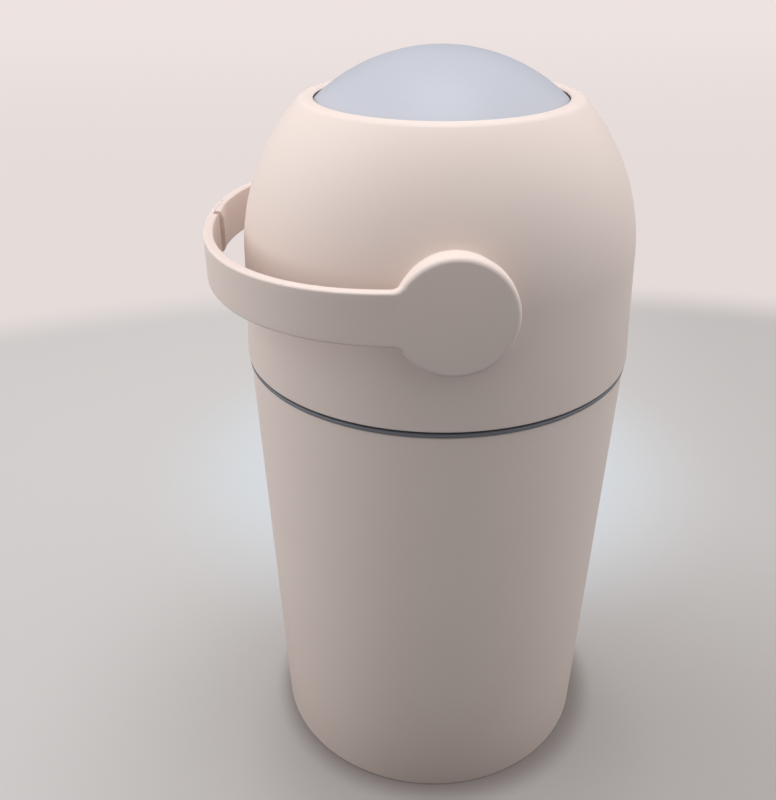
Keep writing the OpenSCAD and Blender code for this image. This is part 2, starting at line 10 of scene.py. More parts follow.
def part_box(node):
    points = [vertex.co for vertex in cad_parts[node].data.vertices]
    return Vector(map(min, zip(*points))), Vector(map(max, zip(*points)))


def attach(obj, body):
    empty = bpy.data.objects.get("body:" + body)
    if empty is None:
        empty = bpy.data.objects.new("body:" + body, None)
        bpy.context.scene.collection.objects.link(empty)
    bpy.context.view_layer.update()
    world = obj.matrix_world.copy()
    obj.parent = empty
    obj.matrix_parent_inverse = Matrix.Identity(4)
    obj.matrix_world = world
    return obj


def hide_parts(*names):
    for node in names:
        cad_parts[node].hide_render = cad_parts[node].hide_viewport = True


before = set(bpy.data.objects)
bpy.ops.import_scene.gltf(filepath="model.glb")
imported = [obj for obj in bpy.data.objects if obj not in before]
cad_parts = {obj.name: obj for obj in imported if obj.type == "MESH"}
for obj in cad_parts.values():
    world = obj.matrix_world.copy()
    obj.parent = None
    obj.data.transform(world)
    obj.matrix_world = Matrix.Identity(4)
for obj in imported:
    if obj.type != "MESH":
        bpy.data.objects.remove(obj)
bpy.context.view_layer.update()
mm = 0.001


def placeOf(node):
    low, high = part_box(node)
    return low / mm, high / mm


def arcPoints(centre, radius, start, end, steps):
    # points on a circle, angles in degrees
    turns = [math.radians(start + (end - start) * i / steps) for i in range(steps + 1)]
    return [(centre[0] + radius * math.cos(a), centre[1] + radius * math.sin(a)) for a in turns]


def roundCorners(corners):
    # corners are (r, z) or (r, z, rounding); a rounding is drawn as an arc
    outline = []
    for i, corner in enumerate(corners):
        here = Vector(corner[:2])
        if len(corner) < 3:
            outline.append(tuple(here))
            continue
        back = Vector(corners[i - 1][:2]) - here
        on = Vector(corners[(i + 1) % len(corners)][:2]) - here
        halfAngle = back.angle(on) / 2
        cut = min(corner[2] / math.tan(halfAngle), 0.49 * back.length, 0.49 * on.length)
        radius = cut * math.tan(halfAngle)
        centre = here + (back.normalized() + on.normalized()).normalized() * radius / math.sin(halfAngle)
        first = here + back.normalized() * cut - centre
        last = here + on.normalized() * cut - centre
        start = math.degrees(math.atan2(first.y, first.x))
        sweep = math.degrees(math.atan2(last.y, last.x)) - start
        sweep = (sweep + 180) % 360 - 180
        steps = max(2, math.ceil(abs(sweep) / 15))  # a point every 15 degrees at least
        outline += arcPoints(centre, radius, start, start + sweep, steps)
    return outline


def spin(mesh, outline, place=Matrix(), steps=180, closed=True, turns=None):
    # turns an outline of (radius, height) round the Z axis; outline may be a function of the angle
    turns = turns or [360 * i / steps for i in range(steps)]
    onAxis = 1e-6
    loops = []
    poles = {}
    for turn in turns:
        profile = outline(turn) if callable(outline) else outline
        a = math.radians(turn)
        loop = []
        for i, (r, z) in enumerate(profile):
            if r < onAxis and i in poles:
                loop.append(poles[i])
                continue
            vert = mesh.verts.new(place @ Vector((r * math.cos(a), r * math.sin(a), z)))
            if r < onAxis:
                poles[i] = vert
            loop.append(vert)
        loops.append(loop)
    count = len(loops[0])
    for loop, nextLoop in zip(loops, loops[1:] + loops[:1]):
        for i in range(count if closed else count - 1):
            j = (i + 1) % count
            corners = []
            for vert in (loop[i], loop[j], nextLoop[j], nextLoop[i]):
                if vert not in corners:
                    corners.append(vert)
            if len(corners) > 2:
                mesh.faces.new(corners)


def prism(mesh, outline, low, high, place=Matrix()):
    # a straight prism from an outline of (x, y) between two heights
    rows = [[mesh.verts.new(place @ Vector((x, y, z))) for x, y in outline] for z in (low, high)]
    mesh.faces.new(rows[0])
    mesh.faces.new(rows[1])
    for i in range(len(outline)):
        j = (i + 1) % len(outline)
        mesh.faces.new((rows[0][i], rows[0][j], rows[1][j], rows[1][i]))


def makePiece(name, mesh, bodyName, nodes, slot, sharpAngle=35):
    # finishes a mesh in millimetres as a piece that rides on a body and stands for CAD nodes
    weld = 1e-4
    bmesh.ops.remove_doubles(mesh, verts=mesh.verts, dist=weld)
    bmesh.ops.dissolve_degenerate(mesh, edges=mesh.edges, dist=weld)
    bmesh.ops.recalc_face_normals(mesh, faces=mesh.faces)
    bmesh.ops.scale(mesh, verts=mesh.verts, vec=(mm, mm, mm))
    data = bpy.data.meshes.new(name)
    mesh.to_mesh(data)
    mesh.free()
    data.polygons.foreach_set("use_smooth", [True] * len(data.polygons))
    data.set_sharp_from_angle(angle=math.radians(sharpAngle))
    data.materials.append(finishes[slot])
    piece = bpy.data.objects.new(name, data)
    bpy.context.collection.objects.link(piece)
    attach(piece, bodyName)
    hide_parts(*nodes)


def onAxle(side):
    # puts a shape that stands along +Z on the axle, pointing out of the front (-1) or the back (1)
    turn = Matrix.Rotation(math.radians(90 if side < 0 else -90), 4, "X")
    return Matrix.Translation((0, 0, axisZ)) @ turn


def linear(hexColour):
    # sRGB hex to linear RGBA
    parts = [int(hexColour[i:i + 2], 16) / 255 for i in (0, 2, 4)]
    return tuple(c / 12.92 if c <= 0.04045 else ((c + 0.055) / 1.055) ** 2.4 for c in parts) + (1,)


def addNode(tree, kind, inputs=None, **settings):
    node = tree.nodes.new(kind)
    for name, value in settings.items():
        setattr(node, name, value)
    for socket, value in (inputs or {}).items():
        if isinstance(value, bpy.types.NodeSocket):
            tree.links.new(value, node.inputs[socket])
        else:
            node.inputs[socket].default_value = value
    return node


def newMaterial(name):
    material = bpy.data.materials.new(name)
    material.use_nodes = True
    tree = material.node_tree
    tree.nodes.clear()
    return material, tree


def grained(name, look):
    # A moulded or turned surface: colour that drifts a little, a fine grain, and gloss that varies with both.
    material, tree = newMaterial(name)
    coords = addNode(tree, "ShaderNodeTexCoord").outputs["Object"]
    drift = addNode(tree, "ShaderNodeTexNoise", {"Vector": coords, "Scale": 1 / (look["driftSize"] * mm),
                                                 "Detail": 3.0, "Roughness": 0.5})
    grain = addNode(tree, "ShaderNodeTexNoise", {"Vector": coords, "Scale": 1 / (look["grainSize"] * mm),
                                                 "Detail": 2.0, "Roughness": 0.6})
    tone = addNode(tree, "ShaderNodeMix", {"Factor": drift.outputs["Fac"], "A": linear(look["colours"][0]),
                                           "B": linear(look["colours"][1])}, data_type="RGBA")
    # the two patterns together run from about 0.6 to 1.4
    mixed = addNode(tree, "ShaderNodeMath", {0: drift.outputs["Fac"], 1: grain.outputs["Fac"]},
                    operation="ADD")
    smooth, dull = look["roughness"]
    rough = addNode(tree, "ShaderNodeMapRange", {"Value": mixed.outputs[0], "From Min": 0.6, "From Max": 1.4,
                                                 "To Min": smooth, "To Max": dull})
    bump = addNode(tree, "ShaderNodeBump", {"Height": grain.outputs["Fac"], "Strength": look["grainStrength"],
                                            "Distance": look["grainDepth"] * mm})
    shader = addNode(tree, "ShaderNodeBsdfPrincipled",
                     {"Roughness": rough.outputs["Result"], "Normal": bump.outputs["Normal"],
                      "Metallic": look.get("metallic", 0.0), "IOR": look.get("ior", 1.5),
                      "Subsurface Weight": look.get("subsurface", 0.0),
                      "Subsurface Scale": look.get("subsurfaceDepth", 1.0) * mm})
    tree.links.new(tone.outputs["Result"], shader.inputs["Base Color"])
    addNode(tree, "ShaderNodeOutputMaterial", {"Surface": shader.outputs["BSDF"]})
    return material


# Polypropylene moulded in a spark-eroded tool: warm off-white, matt, with soft wide highlights.
# The real grain is about 0.1 mm; it is drawn at 0.9 mm, since the finer one wouldn't show.
mouldedShell = grained("mouldedPolypropyleneOffWhite", {
    "colours": ("e8d6cd", "ebdad1"), "driftSize": 60, "grainSize": 0.9, "grainStrength": 0.25,
    "grainDepth": 0.05, "roughness": (0.48, 0.58), "ior": 1.49})

# The same plastic from a smoother tool: pale blue-grey and satin, so the dome keeps one wide soft sheen.
mouldedBall = grained("satinPolypropyleneBlueGrey", {
    "colours": ("b9bac3", "bebfc8"), "driftSize": 70, "grainSize": 0.7, "grainStrength": 0.12,
    "grainDepth": 0.03, "roughness": (0.4, 0.48), "ior": 1.49})

# Slate grey polypropylene, slightly satin: it reads as a thin dark line under the lid.
mouldedRing = grained("satinPolypropyleneSlate", {
    "colours": ("6f7077", "787980"), "driftSize": 40, "grainSize": 0.8, "grainStrength": 0.15,
    "grainDepth": 0.03, "roughness": (0.42, 0.52), "ior": 1.49})

# Natural polypropylene, undyed: milky light grey with a little depth to it.
naturalPlastic = grained("naturalPolypropylene", {
    "colours": ("bcbec4", "c6c8cd"), "driftSize": 50, "grainSize": 0.8, "grainStrength": 0.1,
    "grainDepth": 0.03, "roughness": (0.4, 0.5), "ior": 1.49, "subsurface": 0.1, "subsurfaceDepth": 2.0})

# EPDM rubber for the seals: near black and dull, with a dusty bloom.
sealRubber = grained("extrudedRubberBlack", {
    "colours": ("2a2c30", "3a3c41"), "driftSize": 12, "grainSize": 0.6, "grainStrength": 0.3,
    "grainDepth": 0.04, "roughness": (0.7, 0.85), "ior": 1.52})

# Thermoplastic rubber under the foot: dark grey and dull, scuffed paler in patches.
footRubber = grained("mouldedRubberGrey", {
    "colours": ("3c3e42", "55575c"), "driftSize": 9, "grainSize": 0.7, "grainStrength": 0.35,
    "grainDepth": 0.05, "roughness": (0.65, 0.85), "ior": 1.52})

# Acetal, machined smooth: dense white with a waxy gloss.
turnedAcetal = grained("turnedAcetalWhite", {
    "colours": ("e4e2dc", "eeece6"), "driftSize": 15, "grainSize": 0.4, "grainStrength": 0.08,
    "grainDepth": 0.02, "roughness": (0.28, 0.36), "ior": 1.48})

# Glass-filled nylon: grey, with the faint streaks of its fibres.
filledNylon = grained("glassFilledNylonGrey", {
    "colours": ("7b7f87", "8d9198"), "driftSize": 5, "grainSize": 0.5, "grainStrength": 0.3,
    "grainDepth": 0.04, "roughness": (0.45, 0.6), "ior": 1.53})

# Zinc-plated steel: bright grey metal with a slightly clouded, even gloss.
zincSteel = grained("zincPlatedSteel", {
    "colours": ("b4b6b8", "c6c7c6"), "driftSize": 3, "grainSize": 0.4, "grainStrength": 0.1,
    "grainDepth": 0.01, "roughness": (0.25, 0.38), "metallic": 1.0})

finishes = {
    "shell_plastic": mouldedShell, "ball_plastic": mouldedBall, "ring_plastic": mouldedRing,
    "inner_plastic": naturalPlastic, "seal_rubber": sealRubber, "pad_rubber": footRubber,
    "bearing_plastic": turnedAcetal, "drive_plastic": filledNylon, "screw_steel": zincSteel}
cadSlots = {
    "ring_gasket": "seal_rubber", "lid_liner": "inner_plastic", "liner_screws": "screw_steel",
    "upper_seal": "seal_rubber", "lower_seal": "seal_rubber", "seal_clamp_ring": "inner_plastic",
    "clamp_screws": "screw_steel", "lid_gasket": "seal_rubber",
    "axle_bush_front": "bearing_plastic", "axle_bush_back": "bearing_plastic",
    "thrust_washer_front": "bearing_plastic", "thrust_washer_back": "bearing_plastic",
    "drive_socket_front": "drive_plastic", "drive_socket_back": "drive_plastic",
    "axle_washers": "screw_steel", "axle_screws": "screw_steel"}
for node, slot in cadSlots.items():
    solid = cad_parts[node]
    solid.data.materials.clear()
    solid.data.materials.append(finishes[slot])
print("materials made:", len(bpy.data.materials))

# The body is a tapering tub. Under its floor are ribs and the groove that holds the foot ring.
body = {"rimRadius": 124.6, "height": 302, "taper": 9.5, "wall": 2.5, "footRound": 2.2, "rimRound": 0.9,
        "floorLow": 6, "floorTop": 9, "chamfer": 5, "chamferRound": 6, "floorRound": 4, "skirtGap": 0.8,
        "ribs": 12, "ribThick": 2, "ribDepth": 3, "ribSink": 0.5, "grooveDepth": 2, "grooveGap": 0.1,
        "cornerRound": 0.5, "endRound": 0.4}
footRing = {"width": 10, "height": 6, "round": 0.8}
footOut = placeOf("foot_ring")[1].x
footIn = footOut - footRing["width"]


def bodyOut(z):
    return body["rimRadius"] - body["taper"] * (1 - z / body["height"])


def bodyIn(z):
    return bodyOut(z) - body["wall"]


grooveIn = footIn - body["grooveGap"]
grooveOut = footOut + body["grooveGap"]
grooveLow = body["floorLow"] - body["grooveDepth"]
thick = body["ribThick"]
bend = body["cornerRound"]
tip = body["endRound"]
chamferTop = body["floorTop"] + body["chamfer"]
bodyOutline = roundCorners([
    (0, body["floorLow"]), (grooveIn - thick, body["floorLow"], bend), (grooveIn - thick, grooveLow, tip),
    (grooveIn, grooveLow, tip), (grooveIn, body["floorLow"]), (grooveOut, body["floorLow"]),
    (grooveOut, grooveLow, tip), (grooveOut + thick, grooveLow, tip),
    (grooveOut + thick, body["floorLow"], bend), (bodyIn(body["floorLow"]), body["floorLow"], bend),
    (bodyIn(body["skirtGap"]), body["skirtGap"], tip),
    (bodyOut(body["skirtGap"]), body["skirtGap"], body["footRound"]),
    (body["rimRadius"], body["height"], body["rimRound"]),
    (bodyIn(body["height"]), body["height"], body["rimRound"]),
    (bodyIn(chamferTop), chamferTop, body["chamferRound"]),
    (bodyIn(body["floorTop"]) - body["chamfer"], body["floorTop"], body["floorRound"]), (0, body["floorTop"])])
mesh = bmesh.new()
spin(mesh, bodyOutline, closed=False)
# the ribs under the floor: a star inside the groove, and a short rib outside it for each point of the star
star = []
step = 360 / body["ribs"]
starReach = grooveIn - thick / 2
for i in range(body["ribs"]):
    turn = Matrix.Rotation(math.radians(step * i), 2)
    star += [turn @ Vector((starReach, -thick / 2)), turn @ Vector((starReach, thick / 2))]
    notch = Matrix.Rotation(math.radians(step * (i + 0.5)), 2)
    star.append(notch @ Vector((thick / 2 / math.sin(math.radians(step / 2)), 0)))
ribLow = body["floorLow"] - body["ribDepth"]
ribTop = body["floorLow"] + body["ribSink"]
prism(mesh, star, ribLow, ribTop)
for i in range(body["ribs"]):
    x0, x1 = grooveOut + thick / 2, bodyIn(body["floorLow"]) + body["wall"] / 2
    prism(mesh, [(x0, -thick / 2), (x1, -thick / 2), (x1, thick / 2), (x0, thick / 2)],
          ribLow, ribTop, Matrix.Rotation(math.radians(step * i), 4, "Z"))
makePiece("binBody", mesh, "bin", ["bin_body"], "shell_plastic")

mesh = bmesh.new()
spin(mesh, roundCorners([(footIn, 0, footRing["round"]), (footOut, 0, footRing["round"]),
                         (footOut, footRing["height"]), (footIn, footRing["height"])]))
makePiece("footRing", mesh, "bin", ["foot_ring"], "pad_rubber")
print("body made")

# The bag ring's edge shows between body and lid. Its skirt hangs down inside the body.
ring = {"low": 302.3, "top": 304.7, "edgeRadius": 125.4, "skirtDepth": 45, "skirtClear": 1, "wall": 2.5,
        "lip": 4.7, "edgeRound": 0.9, "endRound": 0.6, "lipLowRound": 0.4, "lipRoot": 1, "edgeRoot": 0.3}
skirtEnd = placeOf("bag_ring")[0].z
skirtOut = bodyIn(ring["low"] - ring["skirtDepth"]) - ring["skirtClear"]
skirtIn = skirtOut - ring["wall"]
lipIn = skirtIn - ring["lip"]
mesh = bmesh.new()
spin(mesh, roundCorners([
    (lipIn, ring["low"], ring["lipLowRound"]), (skirtIn, ring["low"], ring["lipRoot"]),
    (skirtIn, skirtEnd, ring["endRound"]), (skirtOut, skirtEnd, ring["endRound"]),
    (skirtOut, ring["low"], ring["edgeRoot"]), (ring["edgeRadius"], ring["low"], ring["edgeRound"]),
    (ring["edgeRadius"], ring["top"], ring["edgeRound"]), (lipIn, ring["top"], ring["endRound"])]))
makePiece("bagRing", mesh, "bag_ring", ["bag_ring"], "ring_plastic")
print("bag ring made")

# The lid's heights and the ball's are taken from the axle.
lid = {"edgeRadius": 126, "edgeRound": 0.9, "innerRound": 0.5, "edgeLift": 0.8, "wall": 3, "waistIn": 2.7,
       "waistDrop": 8, "domeRadius": 133.5, "domeX": -10.2, "lipRise": 86.5, "lipRound": 6, "lipEdge": 1,
       "landHeight": 17, "landStart": 0.2, "lipGap": 1, "sealHeight": 6, "sealDepth": 3}
ball = {"radius": 113.5, "wall": 2.5, "poleFlat": 1.4, "mouthRadius": 70, "mouthRound": 0.9, "mouthBack": 0.4,
        "tongue": 4, "tongueThick": 2, "tongueGap": 0.1, "tongueEdge": 0.3, "tongueSink": 0.5,
        "seamEdge": 0.4, "seamAngle": 0.25}
lidZ = 305.5  # the lid's lowest level in the CAD model
axisRise = 74
axisZ = lidZ + axisRise
edgeZ = lid["edgeLift"] - axisRise
waistRadius = lid["edgeRadius"] - lid["waistIn"]
domeZ = -lid["waistDrop"]
lipCentreZ = lid["lipRise"] - lid["lipRound"]
lipX = lid["domeX"] + math.sqrt((lid["domeRadius"] - lid["lipRound"]) ** 2 - (lipCentreZ - domeZ) ** 2)
lipAngle = math.degrees(math.atan2(lipCentreZ - domeZ, lipX - lid["domeX"]))


def ballAt(height, gap=0):
    # the ball's radius at a height over the axle, with a gap round it
    return math.sqrt((ball["radius"] + gap) ** 2 - height ** 2)


def ballRun(gap, high, low):
    # points that follow the ball down, at a gap from it
    steps = 3
    heights = [high + (low - high) * i / steps for i in range(steps + 1)]
    return [(ballAt(h, gap), h) for h in heights]


landLow = lid["lipRise"] - lid["landHeight"]
sealLow = landLow + (lid["landHeight"] - lid["sealHeight"]) / 2
sealHigh = sealLow + lid["sealHeight"]
lipInner = ballAt(lid["lipRise"] - lid["lipEdge"], lid["lipGap"])
domeCentre = (lid["domeX"], domeZ)
innerArc = [p for p in arcPoints(domeCentre, lid["domeRadius"] - lid["wall"], lipAngle, 0, steps=36)
            if p[1] < landLow - lid["lipEdge"]]
lidOutline = (
    roundCorners([(lid["edgeRadius"] - lid["wall"], edgeZ, lid["innerRound"]),
                  (lid["edgeRadius"], edgeZ, lid["edgeRound"]), (waistRadius, domeZ)])[:-1]
    + arcPoints(domeCentre, lid["domeRadius"], 0, lipAngle, steps=40)
    + arcPoints((lipX, lipCentreZ), lid["lipRound"], lipAngle, 90, steps=10)[1:]
    + arcPoints((lipInner + lid["lipEdge"], lid["lipRise"] - lid["lipEdge"]), lid["lipEdge"], 90, 180, steps=4)
    + ballRun(lid["lipGap"], lid["lipRise"] - lid["lipEdge"] - lid["landStart"], sealHigh)
    + [(ballAt(sealHigh, lid["lipGap"] + lid["sealDepth"]), sealHigh),
       (ballAt(sealLow, lid["lipGap"] + lid["sealDepth"]), sealLow)]
    + ballRun(lid["lipGap"], sealLow, landLow) + innerArc)
boss = {"radius": 30.5, "back": 116.1, "face": 126.1, "edge": 0.5, "flare": 0.5, "rootSink": 1,
        "tubeEnd": 114.1, "tubeRadius": 16, "bore": 13.05, "washerSeat": 125.15, "washerRadius": 20.6,
        "slotInner": 23.2, "slotOuter": 27.8, "slotDepth": 2.9, "slotSpare": 1.35, "slotJump": 0.02}


def lidAt(z):
    # the lid's outer radius at a height over the axle
    if z < domeZ:
        return lid["edgeRadius"] - lid["waistIn"] * (z + axisRise) / (axisRise + domeZ)
    return lid["domeX"] + math.sqrt(lid["domeRadius"] ** 2 - (z - domeZ) ** 2)


def bearingBoss(mesh, side):
    # the round boss behind a hub, blended into the dome, with its bore, washer seat and stop slot
    start = (-270 if side < 0 else 90) - boss["slotSpare"]
    end = start + 180 + 2 * boss["slotSpare"]
    jump = boss["slotJump"]  # the slot ends square, between two turns this many degrees apart
    turns = sorted([i * 3 for i in range(120)] + [(a + b) % 360 for a in (start, end) for b in (-jump, 0)])
    flareSteps = 6

    def outline(turn):
        cut = boss["slotDepth"] if (turn - start) % 360 < (end - start) - jump / 2 else 0
        a = math.radians(turn)
        points = []
        for i in range(flareSteps + 1):  # the flare, from the dome's surface up to the boss's side
            tilt = math.radians(90 * i / flareSteps)
            r = boss["radius"] + boss["flare"] * (1 - math.sin(tilt))
            x, z = r * math.cos(a), -side * r * math.sin(a)
            surface = math.sqrt(max(lidAt(z) ** 2 - x * x, 0))
            points.append((r, surface + boss["flare"] * (1 - math.cos(tilt))))
        rootR = boss["radius"] + boss["flare"]
        x, z = rootR * math.cos(a), -side * rootR * math.sin(a)
        root = (rootR, math.sqrt(lidAt(z) ** 2 - x * x) - boss["rootSink"])
        bevel = 0.3 * boss["edge"]  # the middle of the rounded edge
        edge = [(boss["radius"], boss["face"] - boss["edge"]), (boss["radius"] - bevel, boss["face"] - bevel),
                (boss["radius"] - boss["edge"], boss["face"])]
        face = [(boss["slotOuter"], boss["face"]), (boss["slotOuter"], boss["face"] - cut),
                (boss["slotInner"], boss["face"] - cut), (boss["slotInner"], boss["face"]),
                (boss["washerRadius"], boss["face"]), (boss["washerRadius"], boss["washerSeat"]),
                (boss["bore"], boss["washerSeat"]), (boss["bore"], boss["tubeEnd"]),
                (boss["tubeRadius"], boss["tubeEnd"]), (boss["tubeRadius"], boss["back"]),
                (boss["radius"], boss["back"])]
        return [root] + points + edge + face

    spin(mesh, outline, onAxle(side), turns=turns)


mesh = bmesh.new()
spin(mesh, lidOutline, Matrix.Translation((0, 0, axisZ)), steps=240)
for side in (-1, 1):
    bearingBoss(mesh, side)
screwPost = {"circle": 113.9, "radius": 3.75, "low": 319.5, "height": 13, "count": 6}
postTop = screwPost["low"] + screwPost["height"]
for i in range(screwPost["count"]):
    turn = Matrix.Rotation(math.radians(360 / screwPost["count"] * i), 4, "Z")
    spin(mesh, [(0, screwPost["low"]), (screwPost["radius"], screwPost["low"]), (screwPost["radius"], postTop),
                (0, postTop)], turn @ Matrix.Translation((screwPost["circle"], 0, 0)), steps=24, closed=False)
makePiece("lidShell", mesh, "lid", ["lid_shell"], "shell_plastic", sharpAngle=32)
print("lid made")

pole = ball["radius"] - ball["poleFlat"]
socket = {"width": 28.2, "wall": 3, "sink": 0.6, "end": placeOf("drive_socket_back")[0].y}
innerBall = ball["radius"] - ball["wall"]
onCentre = Matrix.Translation((0, 0, axisZ))


def flattenPoles(mesh):
    # the ball is flat where the hubs' journals enter, outside and inside
    for vert in mesh.verts:
        reach = (vert.co - Vector((0, 0, axisZ))).length
        limit = pole if reach > innerBall + ball["wall"] / 2 else pole - ball["wall"]
        vert.co.y = max(-limit, min(limit, vert.co.y))


def socketBox(mesh, sign):
    # half of the box round each drive socket, open towards the seam
    half = socket["width"] / 2
    out = half + socket["wall"]
    outline = [(-out, 0), (-half, 0), (-half, half * sign), (half, half * sign), (half, 0), (out, 0),
               (out, out * sign), (-out, out * sign)]
    for side in (-1, 1):
        turn = Matrix.Rotation(math.radians(90), 4, "X")
        prism(mesh, outline, -side * socket["end"], -side * (pole - ball["wall"] + socket["sink"]),
              onCentre @ turn)


# the dome half carries a tongue that fits inside the mouth half; their edges leave a fine line at the seam
mesh = bmesh.new()
tongueOut = innerBall - ball["tongueGap"]
tongueIn = tongueOut - ball["tongueThick"]
tongueAngle = math.degrees(math.asin((ball["tongue"] + ball["tongueSink"]) / innerBall))
domeOuter = arcPoints((0, 0), ball["radius"], 90, ball["seamAngle"], steps=60)
domeInner = arcPoints((0, 0), innerBall, tongueAngle, 90, steps=40)
tongue = [(tongueOut, 0), (tongueOut, ball["tongueEdge"] - ball["tongue"]),
          (tongueOut - ball["tongueEdge"], -ball["tongue"]), (tongueIn, -ball["tongue"]),
          (tongueIn, ball["tongue"])]
spin(mesh, [(0, ball["radius"])] + domeOuter[1:] + [(ball["radius"] - ball["seamEdge"], 0)] + tongue
     + domeInner[:-1] + [(0, innerBall)], onCentre, steps=240, closed=False)
flattenPoles(mesh)
socketBox(mesh, 1)
makePiece("ballDome", mesh, "ball", ["ball_dome"], "ball_plastic", sharpAngle=30)

mesh = bmesh.new()
mouthOut = math.degrees(math.acos(ball["mouthRadius"] / ball["radius"]))
mouthIn = math.degrees(math.acos(ball["mouthRadius"] / innerBall))
mouthCorners = [(ball["mouthRadius"], -ballAt(ball["mouthRadius"]), ball["mouthRound"]),
                (ball["mouthRadius"], innerBall * math.sin(math.radians(-mouthIn)), ball["mouthBack"])]
spin(mesh, roundCorners([(ball["radius"] - ball["seamEdge"], 0)]
                        + arcPoints((0, 0), ball["radius"], -ball["seamAngle"], -mouthOut, steps=40)[:-1]
                        + mouthCorners + arcPoints((0, 0), innerBall, -mouthIn, 0, steps=40)[1:]),
     onCentre, steps=240)
flattenPoles(mesh)
socketBox(mesh, -1)
makePiece("ballMouth", mesh, "ball", ["ball_mouth"], "ball_plastic", sharpAngle=30)

cup = {"outer": 69.7, "wall": 2, "inset": 1, "depth": 118, "taper": 7, "round": 20, "bead": 1.6,
       "rimRound": 0.9, "beadRound": 0.6}
cupRim = cup["inset"] - ballAt(ball["mouthRadius"])
cupEnd = cupRim + cup["depth"]
beadZ = -math.sqrt(innerBall ** 2 - ball["mouthRadius"] ** 2) + cup["bead"]
cupSide = cup["outer"] - cup["taper"]
cupCorner = (cupSide - cup["round"], cupEnd - cup["round"])
mesh = bmesh.new()
spin(mesh, roundCorners([
    (cup["outer"] - cup["wall"], cupRim, cup["rimRound"]), (cup["outer"], cupRim, cup["rimRound"]),
    (cup["outer"], beadZ), (cup["outer"] + cup["bead"], beadZ + cup["bead"] / 2, cup["beadRound"]),
    (cup["outer"], beadZ + 2 * cup["bead"])])
    + arcPoints(cupCorner, cup["round"], 0, 90, steps=14) + [(0, cupEnd), (0, cupEnd - cup["wall"])]
    + arcPoints(cupCorner, cup["round"] - cup["wall"], 90, 0, steps=14), onCentre)
makePiece("pocketCup", mesh, "ball", ["pocket_cup"], "ball_plastic", sharpAngle=30)
print("ball and pocket made")

# The bail is two straps that lap at the far end, each with a round hub on the axle.
bail = {"reach": 146.1, "straight": 24, "square": 2.2, "thick": 6, "hubWidth": 30.3, "endWidth": 27.2,
        "root": (14, 20), "outerEdge": 1.3, "innerEdge": 0.8, "flat": 3.6, "fillet": 7.5, "lapStart": 10,
        "lapEnd": 34, "lapMiddle": 3, "lapGap": 0.1, "endGap": 0.5, "lapRound": 5, "squareEnd": 0.01,
        "lapClear": 6, "proud": 2.4, "proudFade": 1.2, "sink": 0.02, "curveSteps": 70, "lapSteps": 8}
hub = {"face": 137, "radius": 33.4, "edge": 2.8, "backEdge": 1.4, "rimClear": 1, "thick": 10.5, "wall": 3,
       "journal": 9.95, "hex": 9, "hexClear": 0.2, "cavityIn": 21.5, "cavityRound": 0.5, "cavityEdge": 0.4,
       "journalEdge": 0.3, "sink": 0.5, "pegCircle": 25.5, "pegRadius": 2, "pegLength": 2.6}
filletH = bail["hubWidth"] / 2 + bail["fillet"]
filletX = math.sqrt((hub["radius"] + bail["fillet"]) ** 2 - filletH ** 2)
tangentX = filletX * hub["radius"] / (hub["radius"] + bail["fillet"])
alongDegree = math.radians(1) * hub["face"]  # a degree of the strap's curve counts as this many millimetres


def runAt(side):
    # how far along the strap a point of its far end lies, from its distance past the middle
    angle = math.degrees(math.asin((abs(side) / hub["face"]) ** (bail["square"] / 2)))
    return bail["straight"] + (90 + math.copysign(angle, side)) * alongDegree


def planPoint(run, inward):
    # reach and side distance of a point on the strap, whose curve is a slightly squared ellipse
    if run <= bail["straight"]:
        return run, hub["face"] - inward
    a = math.radians(90 - (run - bail["straight"]) / alongDegree)
    long = bail["reach"] - bail["straight"]
    across = abs(math.cos(a)) ** (2 / bail["square"])
    side = abs(math.sin(a)) ** (2 / bail["square"])
    sign = 1 if a >= 0 else -1
    slope = bail["square"] - 1
    normal = Vector((across ** slope / long, sign * side ** slope / hub["face"])).normalized() * inward
    return bail["straight"] + long * across - normal.x, sign * hub["face"] * side - normal.y


def runOfReach(reach):
    # how far along the strap, near its hub, a point at this reach lies
    if reach <= bail["straight"]:
        return reach
    part = (reach - bail["straight"]) / (bail["reach"] - bail["straight"])
    return bail["straight"] + (90 - math.degrees(math.acos(part ** (bail["square"] / 2)))) * alongDegree


def halfWidth(run):
    # half of the strap's width, and its slope
    reach = planPoint(run, 0)[0]
    if reach < filletX:
        across = min(filletX - reach, filletX - tangentX)
        drop = math.sqrt(bail["fillet"] ** 2 - across ** 2)
        slope = -across / drop if reach >= tangentX else 0
        return filletH - drop, slope
    part = (reach - filletX) / (bail["reach"] - filletX)
    return (bail["hubWidth"] + (bail["endWidth"] - bail["hubWidth"]) * part) / 2, 0


def sectionPoints(middle):
    # half of the strap's section from the outer face to the inner one: (from the edge, inward, layer)
    def bend(r):
        turns = [math.radians(a) for a in range(0, 91, 15)]
        return [(r * (1 - math.sin(a)), r * (1 - math.cos(a))) for a in turns]

    flat = [bail["lapRound"], bail["flat"]]
    outer = [(None, 0)] + [(e, 0) for e in flat] + bend(bail["outerEdge"]) + [(0, middle)]
    inner = [(0, middle)] + [(e, bail["thick"] - d) for e, d in bend(bail["innerEdge"])[::-1]]
    inner += [(e, bail["thick"]) for e in flat[::-1]] + [(None, bail["thick"])]
    return [(e, d, "outer") for e, d in outer] + [(e, d, "inner") for e, d in inner]


